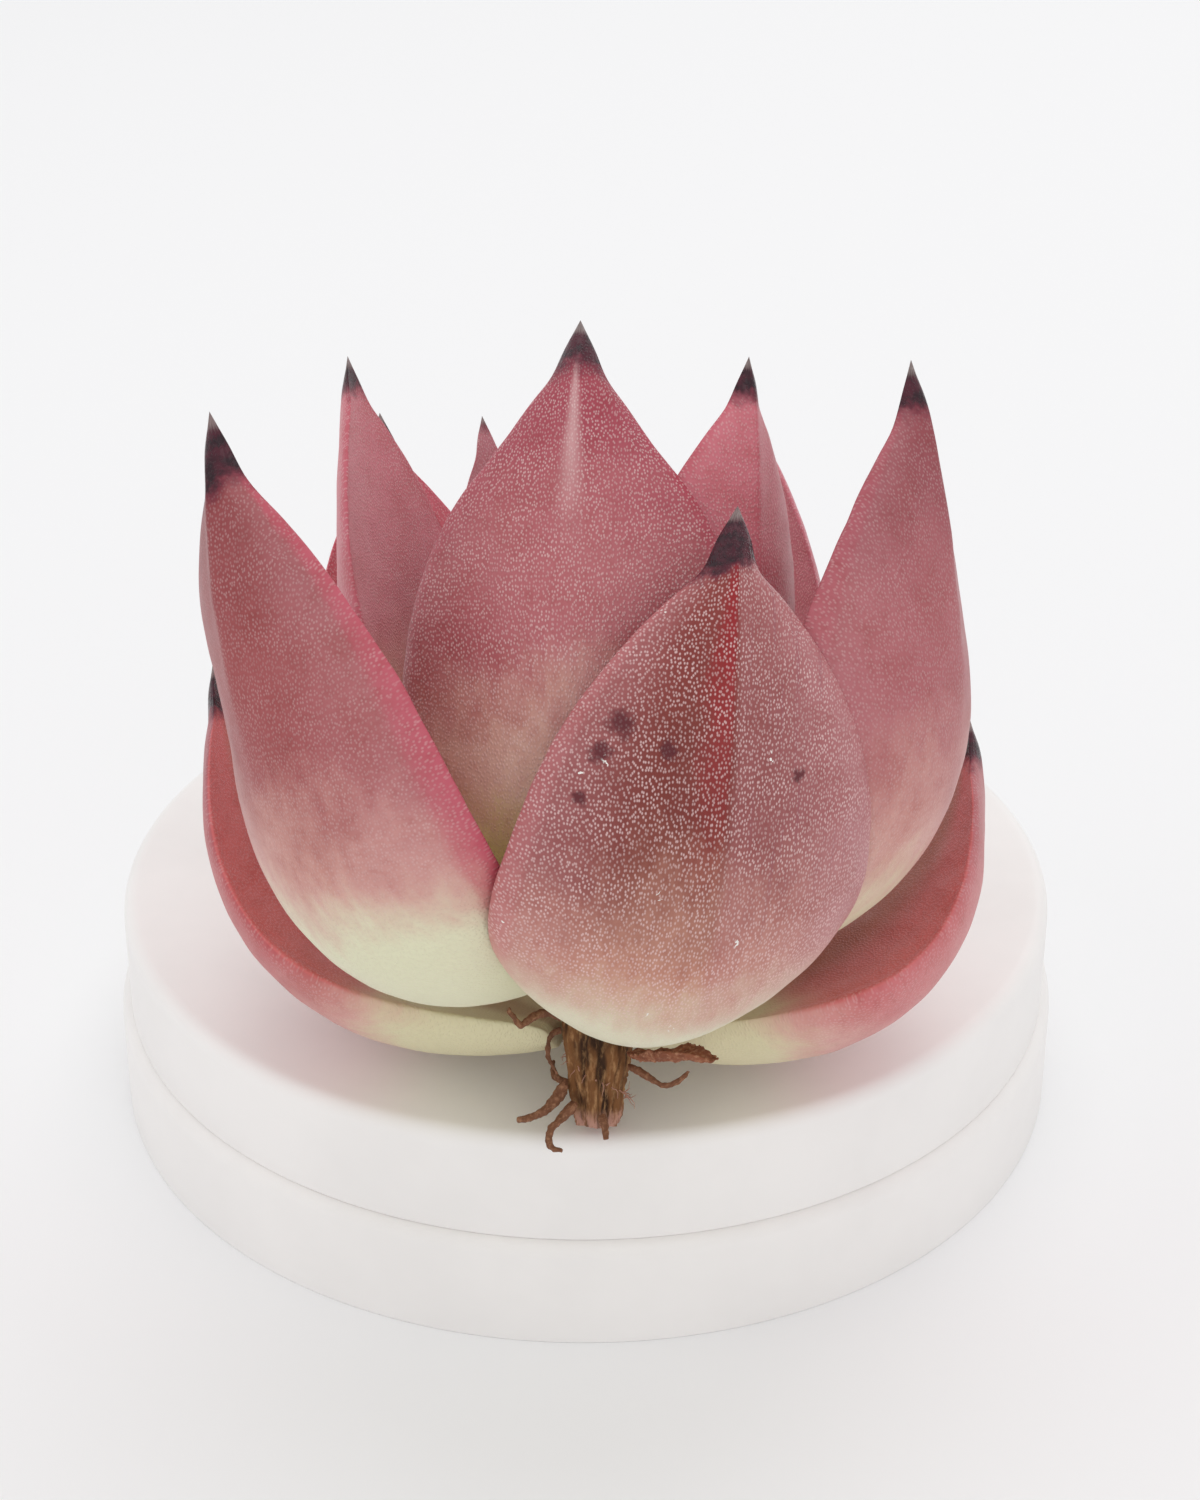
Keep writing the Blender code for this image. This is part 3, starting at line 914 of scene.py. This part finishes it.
def fray(stem):
    strands = bpy.data.curves.new("fibres", "CURVE")
    strands.dimensions = "3D"
    strands.bevel_depth = FIBRE_RADIUS
    strands.bevel_resolution = 1
    strands.use_fill_caps = True
    for i in range(FIBRES):
        add_strand(strands, i)
    hairs = bpy.data.objects.new("fibres", strands)
    bpy.context.scene.collection.objects.link(hairs)
    pick(hairs)
    bpy.ops.object.convert(target="MESH")
    hairs = bpy.context.active_object
    bpy.ops.object.shade_smooth()
    stem.select_set(True)
    bpy.context.view_layer.objects.active = stem
    bpy.ops.object.join()


fray(stem)
print("stem faces with fibres:", len(stem.data.polygons))

# %% [markdown]
# ## The bark finish
# Dry bark is brown with paler raised fibres. The carved height of each vertex picks the tone,
# and where it is low, in the hollows between the fibres, painted shade darkens it towards
# near-black. Fine noise along the stem breaks it up. The crown of the stem, between the leaves,
# is still green, and its torn foot is pink inside. Roots and the dry scale are not carved, so
# there clouds of noise stand in for the carved height and their darker patches fall at random.

# %% Bark
GREEN_CROWN = tone(188, 180, 120)
TORN_PINK = tone(186, 140, 124)


def stem_zones(tree, grain, lines, colour):
    """Green from 8 mm up the stem, pink where the lowest 1.5 mm are torn."""
    level = add(tree, "ShaderNodeSeparateXYZ", {0: grain}, 1)
    colour = mix(tree, rise(tree, level, 8.0, 12.0), colour, GREEN_CROWN)
    torn = times(tree, rise(tree, level, 1.5, 0.3), rise(tree, lines, 0.35, 0.55))
    return mix(tree, torn, colour, TORN_PINK)


def dry_finish(name, dark, middle_tone, pale, carved=False):
    skin = bpy.data.materials.new(name)
    skin.use_nodes = True
    tree = skin.node_tree
    shader = tree.nodes["Principled BSDF"]
    place = add(tree, "ShaderNodeTexCoord", out=3)
    if carved:
        grain = read(tree, "grain", "vector")
        cord_height = read(tree, "cords")
        lines = cloud(tree, stretch(tree, grain, 3.0, 0.9, 1.0), 1.0, 4.0, 0.65)
    else:
        cord_height = plus(tree, cloud(tree, place, 900.0, 3.0), -0.45)
        lines = cloud(tree, place, 3200.0, 4.0, 0.65)
    # On the stem the carved height makes painted shade: the tone darkens in the hollows between
    # the fibres.
    colour = mix(tree, rise(tree, cord_height, -0.5, 0.15), dark, middle_tone)
    colour = mix(tree, rise(tree, lines, 0.45, 0.72), colour, pale)
    grime = rise(tree, cloud(tree, place, 420.0, 3.0), 0.5, 0.75)
    colour = mix(tree, times(tree, grime, 0.6), colour, dark)
    if carved:
        colour = stem_zones(tree, grain, lines, colour)
    tree.links.new(colour, shader.inputs["Base Color"])
    tree.links.new(scaled(tree, lines, 0.2, 0.72), shader.inputs["Roughness"])
    relief = add(tree, "ShaderNodeBump", {"Strength": 0.8, "Distance": 0.12 * MM, "Height": lines})
    tree.links.new(relief, shader.inputs["Normal"])
    shader.inputs["Specular IOR Level"].default_value = 0.25
    return skin


bark = dry_finish("bark_finish", tone(56, 34, 20), tone(124, 82, 48), tone(176, 134, 92),
                  carved=True)
finished(stem, "stem", bark)
print("bark finish:", len(bark.node_tree.nodes), "nodes")

# %% [markdown]
# ## Roots
# Thin roots curl out of the stem. They are dense copies too, with a finer voxel because they
# are thin. Noise bends them a little and roughens them, so that no root is an even tube. A root
# that would dip into the stand is lifted whole, because flattening it could cut it in two.

# %% Model the roots
ROOT_VOXEL = 0.08 * MM
ROOT_BEND = 0.16 * MM
ROOT_FUZZ = 0.07 * MM


def crinkle(piece, bend, fuzz, seed):
    """Bend by slow noise, roughen by fine noise, and lift clear of the stand."""
    rows = places(piece.data)
    normal = directions(piece.data)
    moved = []
    for p, n in zip(rows, normal):
        place = Vector(p) / MM + Vector((seed * 3.7, seed, 0.0))
        bent = np.array(noise.noise_vector(place / 1.1)) * bend
        moved.append(bent + n * fuzz * noise.noise(place / 0.28))
    rows += np.array(moved)
    rows[:, 2] += max(0.0, SURFACE + 0.02 * MM - rows[:, 2].min())
    put_places(piece.data, rows)


root_skin = dry_finish("root_finish", tone(72, 42, 30), tone(124, 82, 60), tone(164, 120, 92))
for number, node in enumerate(sorted(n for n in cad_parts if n.startswith("root_"))):
    root = dense_copy(node, ROOT_VOXEL)
    crinkle(root, ROOT_BEND, ROOT_FUZZ, number + 1.0)
    finished(root, node, root_skin)
    print(node, "faces:", len(root.data.polygons))

# %% [markdown]
# ## The dry leaf scale
# One papery scale is left of an old leaf, low on the stem. It crumples more than a root does,
# so it is made in the same way with a larger bend and a redder finish.

# %% Model the dry scale
SCALE_BEND = 0.35 * MM
SCALE_FUZZ = 0.12 * MM

scale_piece = dense_copy("old_leaf_base", 0.12 * MM)
crinkle(scale_piece, SCALE_BEND, SCALE_FUZZ, 12.0)
dry_skin = dry_finish("dry_leaf_finish", tone(88, 44, 32), tone(142, 86, 62), tone(186, 136, 106))
finished(scale_piece, "old_leaf_base", dry_skin)
print("dry scale faces:", len(scale_piece.data.polygons))

# %% [markdown]
# ## The stand
# Two smooth white discs, the smaller one standing on the other, with softly rounded upper
# edges. Each starts as a cylinder with many sides at the CAD piece's width. Its upper rim is
# bevelled round, its lower rim is eased, and the top is inset to hold the shading. The upper
# disc reaches down to the lower one, so that only the eased rim draws a fine line between them.

# %% Model a disc of the stand
EDGE_ROUND = 1.1 * MM
FOOT_EASE = 0.12 * MM
DISC_SIDES = 192
TOP_INSET = 0.6 * MM


def select_rim(mesh, level):
    """Select the edges that lie at one height, all else deselected."""
    bpy.ops.object.mode_set(mode="OBJECT")
    for part in (mesh.vertices, mesh.edges, mesh.polygons):
        for item in part:
            item.select = False
    for edge in mesh.edges:
        ends = [mesh.vertices[v].co.z for v in edge.vertices]
        edge.select = all(abs(z - level) < 0.01 * MM for z in ends)
    bpy.ops.object.mode_set(mode="EDIT")


def make_disc(node, foot_level):
    low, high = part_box(node)
    low.z = foot_level
    middle = (low + high) / 2
    bpy.ops.object.select_all(action="DESELECT")
    bpy.ops.mesh.primitive_cylinder_add(vertices=DISC_SIDES, radius=(high.x - low.x) / 2,
                                        depth=high.z - low.z, location=middle)
    disc = bpy.context.active_object
    disc.name = node + "_skin"
    bpy.ops.object.transform_apply(location=True, rotation=True, scale=True)
    bpy.ops.object.mode_set(mode="EDIT")
    bpy.ops.mesh.select_mode(type="EDGE")
    select_rim(disc.data, high.z)
    bpy.ops.mesh.bevel(offset=EDGE_ROUND, segments=8, profile=0.5, affect="EDGES")
    select_rim(disc.data, low.z)
    bpy.ops.mesh.bevel(offset=FOOT_EASE, segments=3, profile=0.5, affect="EDGES")
    bpy.ops.mesh.select_mode(type="FACE")
    bpy.ops.object.mode_set(mode="OBJECT")
    for face in disc.data.polygons:
        face.select = len(face.vertices) == DISC_SIDES
    bpy.ops.object.mode_set(mode="EDIT")
    bpy.ops.mesh.inset(thickness=TOP_INSET)
    bpy.ops.object.mode_set(mode="OBJECT")
    bpy.ops.object.shade_smooth_by_angle(angle=math.radians(40))
    return disc


# %% [markdown]
# ## The white finish
# Smooth cast white with a satin skin. A pure white would look flat, so very faint clouds vary
# its tone and its gloss, and a fine pitting is just visible where light grazes it.

# %% White
SOFT_WHITE = tone(242, 239, 237)
LIGHT_WHITE = tone(247, 244, 242)


def make_white():
    skin = bpy.data.materials.new("white_finish")
    skin.use_nodes = True
    tree = skin.node_tree
    shader = tree.nodes["Principled BSDF"]
    place = add(tree, "ShaderNodeTexCoord", out=3)
    clouds = cloud(tree, place, 60.0, 4.0, 0.6)
    colour = mix(tree, rise(tree, clouds, 0.3, 0.7), SOFT_WHITE, LIGHT_WHITE)
    tree.links.new(colour, shader.inputs["Base Color"])
    dull = scaled(tree, cloud(tree, place, 180.0, 3.0), 0.16, 0.34)
    tree.links.new(dull, shader.inputs["Roughness"])
    pits = cloud(tree, place, 2400.0, 2.0)
    relief = add(tree, "ShaderNodeBump", {"Strength": 0.12, "Distance": 0.03 * MM, "Height": pits})
    tree.links.new(relief, shader.inputs["Normal"])
    return skin


white = make_white()
for node, foot_level in (("stand_base", 0.0), ("stand_top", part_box("stand_base")[1].z)):
    disc = make_disc(node, foot_level)
    finished(disc, node, white)
    print(node, "faces:", len(disc.data.polygons))

# %% [markdown]
# ## Floor
# The plant stands on white that has no visible edge. A plane far wider than the view does it.
# A faint glow of its own keeps the floor as white in front as it is behind.

# %% Floor
FLOOR_GLOW = 0.025

bpy.ops.object.select_all(action="DESELECT")
bpy.ops.mesh.primitive_plane_add(size=4.0, location=(0.0, 0.0, 0.0))
floor = bpy.context.active_object
floor.name = "floor"
floor_skin = bpy.data.materials.new("floor_finish")
floor_skin.use_nodes = True
floor_shader = floor_skin.node_tree.nodes["Principled BSDF"]
floor_shader.inputs["Base Color"].default_value = tone(245, 245, 246)
floor_shader.inputs["Roughness"].default_value = 0.9
floor_shader.inputs["Emission Color"].default_value = (1.0, 1.0, 1.0, 1.0)
floor_shader.inputs["Emission Strength"].default_value = FLOOR_GLOW
floor.data.materials.append(floor_skin)
print("floor size m:", tuple(floor.dimensions))

# %% [markdown]
# ## Light
# The plant is in a bright white tent: light comes from all around, a little more from above and
# behind, so shadows are faint and the rims of the leaves glow. A white world makes the tent, and
# four broad lamps shape it. Broad lamps were chosen because a small one would draw hard shadows.

# %% Lights
PLANT = (0.0, 0.0, 0.035)  # places and sizes in metres
FRONT_FLOOR = (0.0, -0.1, 0.0)
LAMPS = {  # place, what it points at, size, watts
    "top_lamp": ((0.05, 0.15, 0.60), PLANT, 0.50, 0.48),
    "back_lamp": ((0.30, 0.55, 0.35), PLANT, 0.40, 0.26),
    "left_lamp": ((-0.55, -0.05, 0.30), PLANT, 0.40, 0.20),
    "front_lamp": ((0.10, -0.60, 0.45), FRONT_FLOOR, 0.45, 0.40),
}
TENT_STRENGTH = 0.79


def add_lamp(name, place, target, size, power):
    lamp = bpy.data.lights.new(name, "AREA")
    lamp.shape = "DISK"
    lamp.size = size
    lamp.energy = power
    holder = bpy.data.objects.new(name, lamp)
    bpy.context.scene.collection.objects.link(holder)
    holder.location = place
    aim = Vector(target) - Vector(place)
    holder.rotation_euler = aim.to_track_quat("-Z", "Y").to_euler()


for name, lamp_values in LAMPS.items():
    add_lamp(name, *lamp_values)
world = bpy.data.worlds.new("white_tent")
bpy.context.scene.world = world
world.use_nodes = True
sky = world.node_tree.nodes["Background"]
sky.inputs["Color"].default_value = (1.0, 1.0, 1.0, 1.0)
sky.inputs["Strength"].default_value = TENT_STRENGTH
print("lamps:", list(LAMPS))

# %% [markdown]
# ## Camera
# The plant is seen from the front and a little above, 29 degrees down, through a long lens that
# hardly exaggerates what is near. The aim is the middle of the plant's height.

# %% Camera
LOOK_AT = Vector((1.07, 0.0, 27.0)) * MM
DISTANCE = 226 * MM
PITCH = math.radians(29)

lens = bpy.data.cameras.new("camera")
lens.sensor_fit = "VERTICAL"
lens.sensor_height = 36.0
lens.lens = 72.0
lens.clip_start = 0.01
camera = bpy.data.objects.new("camera", lens)
bpy.context.scene.collection.objects.link(camera)
camera.location = LOOK_AT + DISTANCE * Vector((0.0, -math.cos(PITCH), math.sin(PITCH)))
camera.rotation_euler = (math.pi / 2 - PITCH, 0.0, 0.0)
bpy.context.scene.camera = camera
bpy.context.scene.view_settings.view_transform = "Standard"
print("camera at:", tuple(round(x, 4) for x in camera.location))
